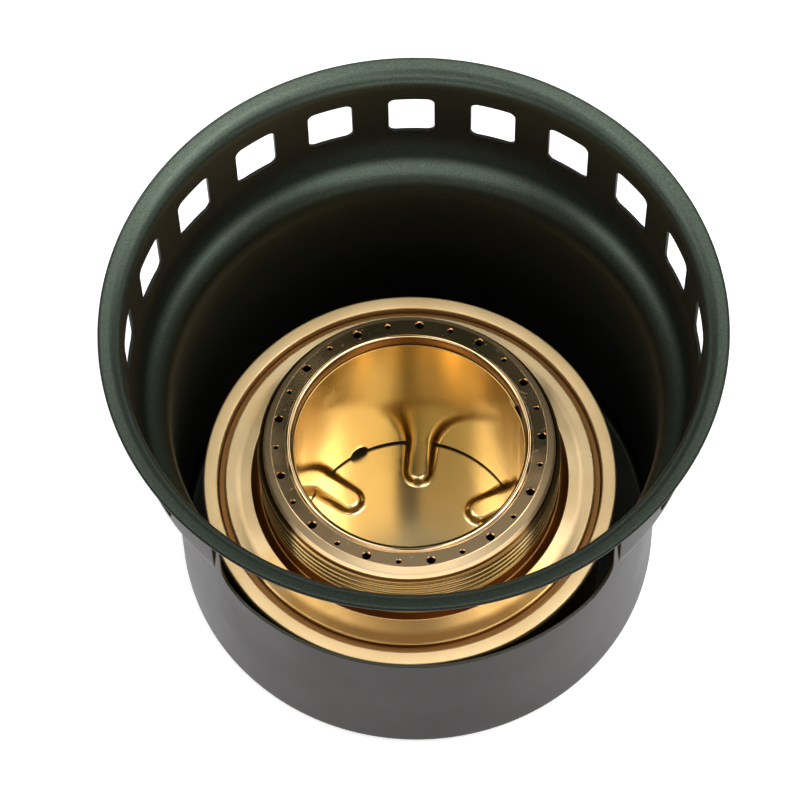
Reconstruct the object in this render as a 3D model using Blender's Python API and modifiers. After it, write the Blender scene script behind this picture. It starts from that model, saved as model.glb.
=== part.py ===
"""Alcohol stove: a drawn aluminium stand and wind shield that holds a spirit burner of pressed brass.

The origin is on the ground under the middle of the stand. +Z is up and the window faces -Y.
"""
import math

import bmesh
import bpy
from mathutils import Matrix, Vector

# Clearances
REST_GAP = 0.0003
SLIDE_GAP = 0.00025
CUT_OVERRUN = 0.0060
MERGE_DISTANCE = 0.00001

# Burner: radii from the inner collar outward
COLLAR_RADIUS = 0.0206
CREST_WIDTH = 0.0016
JET_RING_WIDTH = 0.00215
NECK_EDGE_WIDTH = 0.00125
NECK_STEP = 0.0006
THREAD_DEPTH = 0.0007
SHOULDER_WIDTH = 0.0062
GROOVE_WIDTH = 0.0012
FLANGE_WIDTH = 0.0026

# Burner: heights from its foot upward
BRASS_SHEET = 0.0005
TOP_SHEET = 0.00045
FLOOR_RISE = 0.0048
FLANGE_RISE = 0.0313
NECK_FOOT_RISE = 0.00225
THREAD_COUNT = 5
THREAD_PITCH = 0.00175
THREAD_TOP_DROP = 0.0014
NECK_EDGE_DROP = 0.0011
JET_RING_DROP = 0.0006
GROOVE_DEPTH = 0.0012
SKIRT_DEPTH = 0.0100
COLLAR_DEPTH = 0.0083

# Burner: round corners and turned edges
CUP_CORNER = 0.0025
FLOOR_BEND = 0.0008
FLANGE_BEND = 0.0006
FLANGE_EDGE_BEND = 0.0008
FLANGE_EDGE_DROP = 0.0014
CREST_BEND = 0.00055
SHOULDER_EDGE_BEND = 0.0004
FLOOR_MARGIN = 0.0020
FOOT_SLOPE_WIDTH = 0.0020

# Embossed ridges on the cup's floor, which carry the sleeve
RIDGE_COUNT = 6
RIDGE_TURN = math.radians(5.9)
RIDGE_LENGTH = 0.0102
RIDGE_OVERHANG = 0.0009
RIDGE_BASE_WIDTH = 0.0070
RIDGE_SLOPE_RUN = 0.0016
RIDGE_HEIGHT = 0.00075
RIDGE_SINK = 0.00025
RIDGE_CORNER = 0.0022

# Jets in the ring: large and small ones take turns
JET_PAIRS = 13
JET_INSET = 0.0012
LARGE_JET_WIDTH = 0.0011
SMALL_JET_WIDTH = 0.0007
JET_START_ANGLE = math.radians(-90.0 + 8.3)

# Sleeve: a rolled brass strip whose ends overlap
SLEEVE_SHEET = 0.0004
SLEEVE_OVERLAP_GAP = 0.0002
SLEEVE_TOP_DROP = 0.0045
SEAM_ANGLE = math.radians(23.1)
OVERLAP_ANGLE = math.radians(9.0)
RAMP_ANGLE = math.radians(24.0)
FUEL_HOLE_WIDTH = 0.0035
FUEL_HOLE_ANGLE = math.radians(118.1)

# Wick packing in the ring-shaped chamber
WICK_TOP_DROP = 0.0020

# Stand: one drawn aluminium piece with a closed floor
STAND_SHEET = 0.0006
STAND_FLOOR_CORNER = 0.0012
BURNER_SHIFT = 0.0058
BURNER_DIRECTION = math.radians(-90.0 - 11.4)
HEADROOM = 0.0041
SHOULDER_BEND = 0.0068
SHOULDER_REACH = 0.00625
SHOULDER_RISE = 0.0068
CREASE_BEND = 0.0094
BAND_FLARE = 0.0003
LIP_REACH = 0.0034
LIP_RISE = 0.0075
LIP_FLARE_DROP = 0.0009
LIP_BEND = 0.0030
LIP_FLAT_WIDTH = 0.0011

# Window in the front of the stand
WINDOW_WIDTH = 0.0686
SILL_RISE = 0.0009
SILL_CORNER = 0.0050

# Vents round the band, counted from the back
VENT_COUNT = 15
VENT_PITCH_ANGLE = math.radians(17.0)
VENT_WIDTH = 0.0081
VENT_LIFT = 0.0033
VENT_HEIGHT = 0.0100
VENT_CORNER = 0.0012

# How finely the round pieces are faceted
STAND_SEGMENTS = 56
BURNER_SEGMENTS = 40
ARC_STEPS = 4
JET_SEGMENTS = 6
RIM_SEGMENTS = 3

# Radii of the burner, worked out from the collar
CREST_EDGE_RADIUS = COLLAR_RADIUS + CREST_WIDTH
JET_RING_RADIUS = CREST_EDGE_RADIUS + JET_RING_WIDTH
JET_CIRCLE_RADIUS = CREST_EDGE_RADIUS + JET_INSET
NECK_EDGE_RADIUS = JET_RING_RADIUS + NECK_EDGE_WIDTH
THREAD_ROOT_RADIUS = NECK_EDGE_RADIUS + NECK_STEP
THREAD_CREST_RADIUS = THREAD_ROOT_RADIUS + THREAD_DEPTH
SHOULDER_EDGE_RADIUS = THREAD_CREST_RADIUS + SHOULDER_WIDTH
CUP_INNER_RADIUS = SHOULDER_EDGE_RADIUS + GROOVE_WIDTH
FLANGE_RADIUS = CUP_INNER_RADIUS + FLANGE_WIDTH
SKIRT_RADIUS = CUP_INNER_RADIUS - REST_GAP
SLEEVE_RADIUS = COLLAR_RADIUS - REST_GAP
FLOOR_EDGE_RADIUS = SLEEVE_RADIUS + FLOOR_MARGIN
FOOT_INNER_RADIUS = FLOOR_EDGE_RADIUS + FOOT_SLOPE_WIDTH
RIDGE_TAIL_RADIUS = SLEEVE_RADIUS + RIDGE_OVERHANG
RIDGE_END_RADIUS = RIDGE_TAIL_RADIUS - RIDGE_LENGTH

# Heights in the burner, measured from its own base
CUP_FLOOR = BRASS_SHEET + FLOOR_RISE
THREAD_TOP_HEIGHT = FLANGE_RISE + NECK_FOOT_RISE + THREAD_COUNT * THREAD_PITCH
NECK_EDGE_HEIGHT = THREAD_TOP_HEIGHT + THREAD_TOP_DROP
JET_RING_HEIGHT = NECK_EDGE_HEIGHT + NECK_EDGE_DROP
CREST_HEIGHT = JET_RING_HEIGHT + JET_RING_DROP
GROOVE_FLOOR = FLANGE_RISE - GROOVE_DEPTH
SLEEVE_BOTTOM = CUP_FLOOR + RIDGE_HEIGHT + REST_GAP
SLEEVE_TOP = CREST_HEIGHT - SLEEVE_TOP_DROP

# Where the burner stands: pushed against the wall below the sill, left of the middle
BURNER_BASE = STAND_SHEET + REST_GAP
BURNER_X = BURNER_SHIFT * math.cos(BURNER_DIRECTION)
BURNER_Y = BURNER_SHIFT * math.sin(BURNER_DIRECTION)

# Inner radii of the stand, worked out from the burner's flange and its play
STAND_INNER_RADIUS = FLANGE_RADIUS + BURNER_SHIFT + SLIDE_GAP
CREASE_RADIUS = STAND_INNER_RADIUS + SHOULDER_REACH
BAND_TOP_RADIUS = CREASE_RADIUS + BAND_FLARE
LIP_RADIUS = BAND_TOP_RADIUS + STAND_SHEET + LIP_REACH

# Heights in the stand, worked out from the burner's flange and crest
SILL_HEIGHT = BURNER_BASE + FLANGE_RISE + SILL_RISE
SHOULDER_HEIGHT = BURNER_BASE + CREST_HEIGHT + HEADROOM
CREASE_HEIGHT = SHOULDER_HEIGHT + SHOULDER_RISE
VENT_BOTTOM = CREASE_HEIGHT + VENT_LIFT
VENT_TOP = VENT_BOTTOM + VENT_HEIGHT
LIP_HEIGHT = VENT_TOP + LIP_RISE


def make_material(name, color, metallic, roughness):
    """A plain Principled surface."""
    material = bpy.data.materials.new(name)
    material.use_nodes = True
    shader = material.node_tree.nodes["Principled BSDF"]
    shader.inputs["Base Color"].default_value = (*color, 1.0)
    shader.inputs["Metallic"].default_value = metallic
    shader.inputs["Roughness"].default_value = roughness
    return material


def corner_points(before, corner, after, radius):
    """The points of a round corner of the given radius between two straight runs."""
    start = (before - corner).normalized()
    end = (after - corner).normalized()
    half_angle = start.angle(end) / 2.0
    reach = radius / math.tan(half_angle)
    centre = corner + (start + end).normalized() * (radius / math.sin(half_angle))
    first = corner + start * reach - centre
    last = corner + end * reach - centre
    turn = first.angle_signed(last)
    points = []
    for step in range(ARC_STEPS + 1):
        rotation = Matrix.Rotation(-turn * step / ARC_STEPS, 2)
        points.append(centre + rotation @ first)
    return points


def rounded_path(corners):
    """A run of (radius, height) points from corners given as (radius, height, bend)."""
    spots = [Vector((radius, height)) for radius, height, bend in corners]
    points = []
    for index, spot in enumerate(spots):
        bend = corners[index][2]
        if bend:
            points.extend(corner_points(spots[index - 1], spot, spots[index + 1], bend))
        else:
            points.append(spot)
    return points


def new_object(name, mesh, collection, material=None):
    """An object for the mesh, in the collection, with its own material."""
    item = bpy.data.objects.new(name, mesh)
    collection.objects.link(item)
    if material:
        mesh.materials.append(material)
    return item


def add_screw(item, segments):
    """Turn the item's profile once round the Z axis."""
    screw = item.modifiers.new("turn", "SCREW")
    screw.axis = "Z"
    screw.angle = math.tau
    screw.steps = segments
    screw.render_steps = segments
    screw.use_merge_vertices = True
    screw.merge_threshold = MERGE_DISTANCE
    screw.use_smooth_shade = True


def add_sheet(item, thickness):
    """Give an open surface its thickness behind its faces."""
    solidify = item.modifiers.new("sheet", "SOLIDIFY")
    solidify.thickness = thickness
    solidify.offset = -1.0
    solidify.use_even_offset = True


def add_boolean(item, operation, tool):
    """Cut the tool out of the item, or join it on."""
    boolean = item.modifiers.new(tool.name, "BOOLEAN")
    boolean.operation = operation
    boolean.solver = "EXACT"
    boolean.object = tool


def profile_mesh(name, points, closed):
    """A mesh of edges along (radius, height) points in the XZ plane."""
    mesh = bpy.data.meshes.new(name)
    count = len(points)
    last = count if closed else count - 1
    edges = [(index, (index + 1) % count) for index in range(last)]
    mesh.from_pydata([(point[0], 0, point[1]) for point in points], edges, [])
    return mesh


def turned_shell(name, corners, thickness, segments, collection, material):
    """A sheet-metal shell turned from a path along the side that shows."""
    mesh = profile_mesh(name, rounded_path(corners), closed=False)
    item = new_object(name, mesh, collection, material)
    add_screw(item, segments)
    add_sheet(item, thickness)
    return item


def rounded_block(low, high, bends, placement):
    """A block whose edges along Y are rounded: bends holds the lower and the upper radius."""
    low = Vector(low)
    high = Vector(high)
    block = bmesh.new()
    scale = Matrix.Diagonal((*(high - low), 1.0))
    bmesh.ops.create_cube(block, size=1.0, matrix=Matrix.Translation((low + high) / 2.0) @ scale)
    middle_height = (low.z + high.z) / 2.0
    for upper, bend in zip((False, True), bends):
        edges = []
        for edge in block.edges:
            start, end = (vertex.co for vertex in edge.verts)
            along_y = abs(end.y - start.y) > (high.y - low.y) / 2.0
            if along_y and (start.z > middle_height) == upper:
                edges.append(edge)
        bmesh.ops.bevel(block, geom=edges, offset=bend, segments=RIM_SEGMENTS, profile=0.5,
                        affect="EDGES", clamp_overlap=True)
    block.transform(placement)
    return block


def tool_object(name, shapes, tools):
    """One hidden tool object that holds every shape."""
    whole = bmesh.new()
    for shape in shapes:
        piece = bpy.data.meshes.new(name)
        shape.to_mesh(piece)
        whole.from_mesh(piece)
        shape.free()
        bpy.data.meshes.remove(piece)
    bmesh.ops.recalc_face_normals(whole, faces=whole.faces)
    mesh = bpy.data.meshes.new(name)
    whole.to_mesh(mesh)
    whole.free()
    item = new_object(name, mesh, tools)
    item.hide_render = True
    item.display_type = "WIRE"
    return item


def make_stand(parts, tools):
    """The drawn stand: floor, wall, shoulder, vented band and turned-out lip."""
    corners = [
        (0, STAND_SHEET, 0),
        (STAND_INNER_RADIUS, STAND_SHEET, STAND_FLOOR_CORNER),
        (STAND_INNER_RADIUS, SHOULDER_HEIGHT, SHOULDER_BEND),
        (CREASE_RADIUS, CREASE_HEIGHT, CREASE_BEND),
        (BAND_TOP_RADIUS, LIP_HEIGHT - LIP_FLARE_DROP, LIP_BEND),
        (LIP_RADIUS - LIP_FLAT_WIDTH, LIP_HEIGHT, 0),
        (LIP_RADIUS, LIP_HEIGHT, 0),
    ]
    green = make_material("green_anodised_aluminium", (0.06, 0.08, 0.06), 0.7, 0.42)
    stand = turned_shell("stand", corners, STAND_SHEET, STAND_SEGMENTS, parts, green)
    outside = LIP_RADIUS + CUT_OVERRUN
    inside = CREASE_RADIUS - CUT_OVERRUN
    half_window = WINDOW_WIDTH / 2.0
    half_vent = VENT_WIDTH / 2.0
    window = rounded_block((-half_window, -outside, SILL_HEIGHT), (half_window, 0, VENT_TOP),
                           (SILL_CORNER, VENT_CORNER), Matrix.Identity(4))
    vents = []
    for index in range(VENT_COUNT):
        turn = (index - (VENT_COUNT - 1) / 2.0) * VENT_PITCH_ANGLE
        placement = Matrix.Rotation(turn, 4, "Z")
        vents.append(rounded_block((-half_vent, inside, VENT_BOTTOM), (half_vent, outside, VENT_TOP),
                                   (VENT_CORNER, VENT_CORNER), placement))
    add_boolean(stand, "DIFFERENCE", tool_object("window_cut", [window], tools))
    add_boolean(stand, "DIFFERENCE", tool_object("vent_cuts", vents, tools))
    return stand


def make_ridge(turn):
    """One raised ridge on the cup's floor, along the line at the given turn."""
    base = CUP_FLOOR - RIDGE_SINK
    top = CUP_FLOOR + RIDGE_HEIGHT
    low = Vector((RIDGE_END_RADIUS, -RIDGE_BASE_WIDTH / 2.0, base))
    high = Vector((RIDGE_TAIL_RADIUS, RIDGE_BASE_WIDTH / 2.0, top))
    block = bmesh.new()
    scale = Matrix.Diagonal((*(high - low), 1.0))
    bmesh.ops.create_cube(block, size=1.0, matrix=Matrix.Translation((low + high) / 2.0) @ scale)
    middle_x = (low.x + high.x) / 2.0
    inner = []
    for edge in block.edges:
        start, end = (vertex.co for vertex in edge.verts)
        if abs(start.z - end.z) > RIDGE_SINK and start.x < middle_x:
            inner.append(edge)
    bmesh.ops.bevel(block, geom=inner, offset=RIDGE_CORNER, segments=RIM_SEGMENTS, profile=0.5,
                    affect="EDGES", clamp_overlap=True)
    for vertex in block.verts:
        if vertex.co.z > (base + top) / 2.0:
            vertex.co.x = high.x + (vertex.co.x - high.x) * (1.0 - RIDGE_SLOPE_RUN / (high.x - low.x))
            vertex.co.y *= 1.0 - RIDGE_SLOPE_RUN / high.y
    block.transform(Matrix.Rotation(turn, 4, "Z"))
    return block


def make_cup(parts, tools, burner):
    """The outer cup of the burner: raised floor, foot ring, wall and flange."""
    corners = [
        (0, CUP_FLOOR, 0),
        (FLOOR_EDGE_RADIUS, CUP_FLOOR, FLOOR_BEND),
        (FOOT_INNER_RADIUS, BRASS_SHEET, FLOOR_BEND),
        (CUP_INNER_RADIUS, BRASS_SHEET, CUP_CORNER),
        (CUP_INNER_RADIUS, FLANGE_RISE, FLANGE_BEND),
        (FLANGE_RADIUS, FLANGE_RISE, FLANGE_EDGE_BEND),
        (FLANGE_RADIUS, FLANGE_RISE - FLANGE_EDGE_DROP, 0),
    ]
    brass = make_material("satin_brass", (0.80, 0.58, 0.30), 1.0, 0.30)
    cup = turned_shell("burner_cup", corners, BRASS_SHEET, BURNER_SEGMENTS, parts, brass)
    first = math.radians(90.0) - RIDGE_TURN
    ridges = [make_ridge(first + math.tau * index / RIDGE_COUNT) for index in range(RIDGE_COUNT)]
    ridge_tool = tool_object("floor_ridges", ridges, tools)
    ridge_tool.parent = burner
    add_boolean(cup, "UNION", ridge_tool)
    cup.parent = burner
    return cup


def thread_corners():
    """The ridges of the neck's thread, from the top down."""
    corners = []
    for index in range(THREAD_COUNT):
        height = THREAD_TOP_HEIGHT - index * THREAD_PITCH
        corners.append((THREAD_ROOT_RADIUS, height, 0))
        corners.append((THREAD_CREST_RADIUS, height - THREAD_PITCH / 2.0, 0))
    corners.append((THREAD_ROOT_RADIUS, FLANGE_RISE + NECK_FOOT_RISE, 0))
    return corners


def make_top(parts, tools, burner):
    """The upper pressing: collar, crest, jet ring, threaded neck, shoulder and skirt."""
    corners = [
        (COLLAR_RADIUS, CREST_HEIGHT - COLLAR_DEPTH, 0),
        (COLLAR_RADIUS, CREST_HEIGHT, CREST_BEND),
        (CREST_EDGE_RADIUS, CREST_HEIGHT, CREST_BEND),
        (CREST_EDGE_RADIUS, JET_RING_HEIGHT, 0),
        (JET_RING_RADIUS, JET_RING_HEIGHT, 0),
        (NECK_EDGE_RADIUS, NECK_EDGE_HEIGHT, 0),
        *thread_corners(),
        (THREAD_CREST_RADIUS, FLANGE_RISE, 0),
        (SHOULDER_EDGE_RADIUS, FLANGE_RISE, SHOULDER_EDGE_BEND),
        (SHOULDER_EDGE_RADIUS, GROOVE_FLOOR, 0),
        (SKIRT_RADIUS, GROOVE_FLOOR, 0),
        (SKIRT_RADIUS, GROOVE_FLOOR - SKIRT_DEPTH, 0),
    ]
    brass = make_material("polished_brass", (0.86, 0.66, 0.36), 1.0, 0.16)
    top = turned_shell("burner_top", corners, TOP_SHEET, BURNER_SEGMENTS, parts, brass)
    jets = []
    for index in range(2 * JET_PAIRS):
        width = SMALL_JET_WIDTH if index % 2 else LARGE_JET_WIDTH
        turn = JET_START_ANGLE + math.tau * index / (2 * JET_PAIRS)
        centre = Vector((JET_CIRCLE_RADIUS, 0, JET_RING_HEIGHT))
        jet = bmesh.new()
        bmesh.ops.create_cone(jet, cap_ends=True, segments=JET_SEGMENTS, radius1=width / 2.0,
                              radius2=width / 2.0, depth=2.0 * CUT_OVERRUN,
                              matrix=Matrix.Rotation(turn, 4, "Z") @ Matrix.Translation(centre))
        jets.append(jet)
    jet_tool = tool_object("jet_cuts", jets, tools)
    jet_tool.parent = burner
    add_boolean(top, "DIFFERENCE", jet_tool)
    top.parent = burner
    return top


def sleeve_radius(angle, sweep):
    """Outer radius of the strip at an angle from its start: it steps in under its own end."""
    step_in = SLEEVE_SHEET + SLEEVE_OVERLAP_GAP
    ramp_start = sweep - OVERLAP_ANGLE - RAMP_ANGLE
    share = min(max((angle - ramp_start) / RAMP_ANGLE, 0.0), 1.0)
    return SLEEVE_RADIUS - step_in * share * share * (3.0 - 2.0 * share)


def make_sleeve(parts, tools, burner):
    """The inner sleeve: a rolled strip with a fuel hole at its lower edge."""
    sweep = math.tau + OVERLAP_ANGLE
    steps = BURNER_SEGMENTS + BURNER_SEGMENTS // 4
    strip = bmesh.new()
    vertices = []
    for step in range(steps + 1):
        angle = sweep * step / steps
        radius = sleeve_radius(angle, sweep)
        x = radius * math.cos(SEAM_ANGLE + angle)
        y = radius * math.sin(SEAM_ANGLE + angle)
        vertices.append(strip.verts.new((x, y, SLEEVE_BOTTOM)))
    edges = [strip.edges.new(pair) for pair in zip(vertices, vertices[1:])]
    raised = bmesh.ops.extrude_edge_only(strip, edges=edges)
    raised_vertices = [item for item in raised["geom"] if isinstance(item, bmesh.types.BMVert)]
    bmesh.ops.translate(strip, verts=raised_vertices, vec=(0, 0, SLEEVE_TOP - SLEEVE_BOTTOM))
    for face in strip.faces:
        face.smooth = True
        face.normal_update()
        middle = face.calc_center_median()
        if face.normal.x * middle.x + face.normal.y * middle.y < 0:
            face.normal_flip()
    mesh = bpy.data.meshes.new("inner_sleeve")
    strip.to_mesh(mesh)
    strip.free()
    brass = make_material("sleeve_brass", (0.85, 0.62, 0.30), 1.0, 0.20)
    sleeve = new_object("inner_sleeve", mesh, parts, brass)
    add_sheet(sleeve, SLEEVE_SHEET)
    hole = bmesh.new()
    placement = (Matrix.Rotation(FUEL_HOLE_ANGLE, 4, "Z")
                 @ Matrix.Translation((SLEEVE_RADIUS, 0, SLEEVE_BOTTOM))
                 @ Matrix.Rotation(math.radians(90.0), 4, "Y"))
    bmesh.ops.create_cone(hole, cap_ends=True, segments=2 * JET_SEGMENTS, radius1=FUEL_HOLE_WIDTH / 2.0,
                          radius2=FUEL_HOLE_WIDTH / 2.0, depth=FUEL_HOLE_WIDTH, matrix=placement)
    hole_tool = tool_object("fuel_hole_cut", [hole], tools)
    hole_tool.parent = burner
    add_boolean(sleeve, "DIFFERENCE", hole_tool)
    sleeve.parent = burner
    return sleeve


def make_wick(parts, burner):
    """The absorbent packing that stands in the foot ring and fills the chamber."""
    outer = SKIRT_RADIUS - TOP_SHEET - REST_GAP
    inner = FOOT_INNER_RADIUS + FLOOR_BEND
    bottom = BRASS_SHEET + REST_GAP + CUP_CORNER
    top = GROOVE_FLOOR - TOP_SHEET - WICK_TOP_DROP
    foot = BRASS_SHEET + REST_GAP
    points = [(inner, top), (outer, top), (outer, bottom), (outer - CUP_CORNER, foot), (inner, foot)]
    fibre = make_material("absorbent_wick", (0.78, 0.74, 0.66), 0.0, 0.95)
    wick = new_object("wick", profile_mesh("wick", points, closed=True), parts, fibre)
    add_screw(wick, BURNER_SEGMENTS)
    wick.parent = burner
    return wick


def main():
    """Clear the scene and build the stove."""
    for item in list(bpy.data.objects):
        bpy.data.objects.remove(item, do_unlink=True)
    parts = bpy.data.collections.new("alcohol_stove")
    tools = bpy.data.collections.new("cutters")
    bpy.context.scene.collection.children.link(parts)
    bpy.context.scene.collection.children.link(tools)
    burner = bpy.data.objects.new("burner_lift_axis", None)
    burner.location = (BURNER_X, BURNER_Y, BURNER_BASE)
    parts.objects.link(burner)
    make_stand(parts, tools)
    make_cup(parts, tools, burner)
    make_top(parts, tools, burner)
    make_sleeve(parts, tools, burner)
    make_wick(parts, burner)
    bpy.context.view_layer.update()


main()
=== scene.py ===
import math

import bmesh
import bpy
from mathutils import Matrix, Vector


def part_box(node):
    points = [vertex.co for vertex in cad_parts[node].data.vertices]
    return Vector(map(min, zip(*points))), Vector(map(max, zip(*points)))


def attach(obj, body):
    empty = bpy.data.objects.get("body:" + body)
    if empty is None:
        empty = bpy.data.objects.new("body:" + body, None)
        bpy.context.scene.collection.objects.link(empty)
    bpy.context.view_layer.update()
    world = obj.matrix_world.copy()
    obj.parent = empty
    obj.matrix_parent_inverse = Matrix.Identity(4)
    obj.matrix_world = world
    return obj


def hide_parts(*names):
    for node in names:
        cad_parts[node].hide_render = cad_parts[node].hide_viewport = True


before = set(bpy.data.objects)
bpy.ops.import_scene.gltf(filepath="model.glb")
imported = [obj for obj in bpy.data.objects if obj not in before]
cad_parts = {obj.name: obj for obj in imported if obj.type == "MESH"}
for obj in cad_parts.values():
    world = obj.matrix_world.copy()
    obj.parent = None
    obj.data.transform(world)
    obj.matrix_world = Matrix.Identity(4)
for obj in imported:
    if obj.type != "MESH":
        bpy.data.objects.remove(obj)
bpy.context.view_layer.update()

MM = 0.001

# Where things are, read from the frame
STAND_LOW, STAND_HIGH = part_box("stand")
CUP_LOW, CUP_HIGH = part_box("burner_cup")
TOP_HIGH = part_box("burner_top")[1]
BURNER_X = (CUP_LOW.x + CUP_HIGH.x) / 2.0
BURNER_Y = (CUP_LOW.y + CUP_HIGH.y) / 2.0
LIP_RADIUS = STAND_HIGH.x
LIP_HEIGHT = STAND_HIGH.z
FLANGE_RADIUS = CUP_HIGH.x - BURNER_X
FLANGE_HEIGHT = CUP_HIGH.z
CREST_HEIGHT = TOP_HIGH.z
BURNER_BASE = CUP_LOW.z

# Stand
STAND_SHEET = 0.6 * MM
WALL_RADIUS = 42.95 * MM
FLOOR_CORNER = 1.2 * MM
SHOULDER_HEIGHT = 51.2 * MM
SHOULDER_BEND = 8.0 * MM
CREASE_RADIUS = 49.2 * MM
CREASE_HEIGHT = 56.4 * MM
CREASE_BEND = 9.0 * MM
BAND_TOP_RADIUS = 49.5 * MM
LIP_FLARE_DROP = 0.9 * MM
LIP_BEND = 3.0 * MM
LIP_FLAT_WIDTH = 0.5 * MM
LIP_FLAT_BEND = 1.5 * MM
LIP_EDGE_ROUND = 0.34 * MM
LIP_EDGE_BACK_ROUND = 0.1 * MM
WINDOW_WIDTH = 68.6 * MM
SILL_HEIGHT = 33.1 * MM
SILL_CORNER = 5.0 * MM
VENT_COUNT = 15
VENT_PITCH_ANGLE = math.radians(17.0)
VENT_WIDTH = 8.1 * MM
VENT_BOTTOM = 60.5 * MM
VENT_TOP = 70.5 * MM
VENT_CORNER = 1.3 * MM
CUT_OVERRUN = 6.0 * MM
CUT_EDGE = 0.12 * MM
# Heights of the painted shade inside the stand: the green is darker deep down, on the band and round the
# shoulder, and full where the shoulder and the lip catch the light
SHADE_DEEP = 17.0 * MM
SHADE_THIN = 34.0 * MM
SHADE_BELOW = 48.5 * MM
SHOULDER_SHADE_TO = 50.8 * MM
SHOULDER_LIT_FROM = 52.4 * MM
SHOULDER_LIT_TO = 53.9 * MM
BAND_SHADE_FROM = 55.0 * MM
BAND_SHADE_MIDDLE = 60.0 * MM
BAND_SHADE_TO = 73.5 * MM
LIP_LIT_FROM = 76.2 * MM

# Burner cup
BRASS_SHEET = 0.5 * MM
CUP_WALL = 34.3 * MM
CUP_CORNER = 2.5 * MM
FOOT_INNER_RADIUS = 24.3 * MM
FLOOR_EDGE_RADIUS = 22.3 * MM
CUP_FLOOR = BURNER_BASE + 5.3 * MM
FLOOR_BEND = 0.8 * MM
FLAT_FLOOR_RADIUS = FLOOR_EDGE_RADIUS * 0.93
FLOOR_STEPS = 60
RIDGE_FADE = 1.0 * MM
FLANGE_BEND = 0.4 * MM
FLANGE_EDGE_BEND = 0.35 * MM
FLANGE_UNDER_BEND = 0.2625 * MM
FLANGE_DROP = 1.4 * MM
HEM_RADIUS = 35.9 * MM
RIDGE_COUNT = 6
RIDGE_TURN = math.radians(5.9)
RIDGE_START = 14.0 * MM
RIDGE_HALF_TOP = 1.6 * MM
RIDGE_SLOPE = 1.4 * MM
RIDGE_HEIGHT = 1.15 * MM

# Burner top
TOP_SHEET = 0.45 * MM
COLLAR_RADIUS = 20.6 * MM
COLLAR_DEPTH = 8.3 * MM
CREST_WIDTH = 1.15 * MM
CREST_INNER_BEND = 0.5 * MM
CREST_OUTER_BEND = 0.5 * MM
CREST_FOOT_BEND = 0.06 * MM
JET_RING_HEIGHT = CREST_HEIGHT - 0.6 * MM
JET_RING_FALL = 0.03 * MM
JET_RING_RADIUS = 24.35 * MM
JET_RING_BEND = 0.2 * MM
NECK_EDGE_RADIUS = 25.6 * MM
NECK_EDGE_HEIGHT = JET_RING_HEIGHT - 1.1 * MM
NECK_BEND = 1.0 * MM
THREAD_TOP = NECK_EDGE_HEIGHT - 1.2 * MM
THREAD_BOTTOM = FLANGE_HEIGHT + 2.2 * MM
THREAD_ROOT = 26.15 * MM
THREAD_DEPTH = 0.62 * MM
THREAD_PITCH = 1.75 * MM
THREAD_FADE = 0.8 * MM
THREAD_STEPS = 56
THREAD_RUN_IN = Vector((-0.35, 0.3)) * MM
FOOT_CHANNEL_RADIUS = 26.5 * MM
FOOT_CHANNEL_DROP = 0.5 * MM
FOOT_CHANNEL_BEND = 0.4 * MM
SHOULDER_RIM_RADIUS = 28.4 * MM
SHOULDER_RIM_RISE = 0.25 * MM
SHOULDER_RIM_BEND = 0.3 * MM
SHOULDER_EDGE_RADIUS = 33.1 * MM
SHOULDER_DISH = 0.15 * MM
SHOULDER_DISH_BEND = 6.0 * MM
SHOULDER_EDGE_BEND = 0.45 * MM
GROOVE_DEPTH = 1.2 * MM
GROOVE_INNER_BEND = 0.1 * MM
GROOVE_OUTER_BEND = 0.2 * MM
SKIRT_RADIUS = CUP_WALL - 0.15 * MM
SKIRT_DEPTH = 10.0 * MM
JET_PAIRS = 13
JET_CIRCLE_RADIUS = 23.4 * MM
LARGE_JET = (1.3 * MM, 2.0 * MM)
SMALL_JET = (0.75 * MM, 1.35 * MM)
JET_START_ANGLE = math.radians(-90.0 + 8.8)
JET_SEGMENTS = 28
JET_TOOL_DEPTH = TOP_SHEET * 6.0

# Sleeve
SLEEVE_SHEET = 0.3 * MM
SLEEVE_RADIUS = COLLAR_RADIUS - 0.06 * MM
SLEEVE_BOTTOM = CUP_FLOOR + 0.75 * MM
SLEEVE_TOP = CREST_HEIGHT - 2.6 * MM
SEAM_ANGLE = math.radians(22.3)
OVERLAP_ANGLE = math.radians(5.0)
RAMP_ANGLE = math.radians(9.0)
OVERLAP_GAP = 0.02 * MM
FUEL_HOLE_WIDTH = 3.5 * MM
FUEL_HOLE_ANGLE = math.radians(118.1)
FUEL_HOLE_SEGMENTS = 32
SLEEVE_EDGE = 0.06 * MM
SLEEVE_STEPS = 365
SLEEVE_ROWS = 12

# How finely the round pieces are drawn
STAND_SEGMENTS = 192
BURNER_SEGMENTS = 192
ARC_STEPS = 8
LONGEST_RUN = 2.5 * MM
ON_AXIS = 0.001 * MM
SLOT_MARGIN = 0.1 * MM

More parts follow.
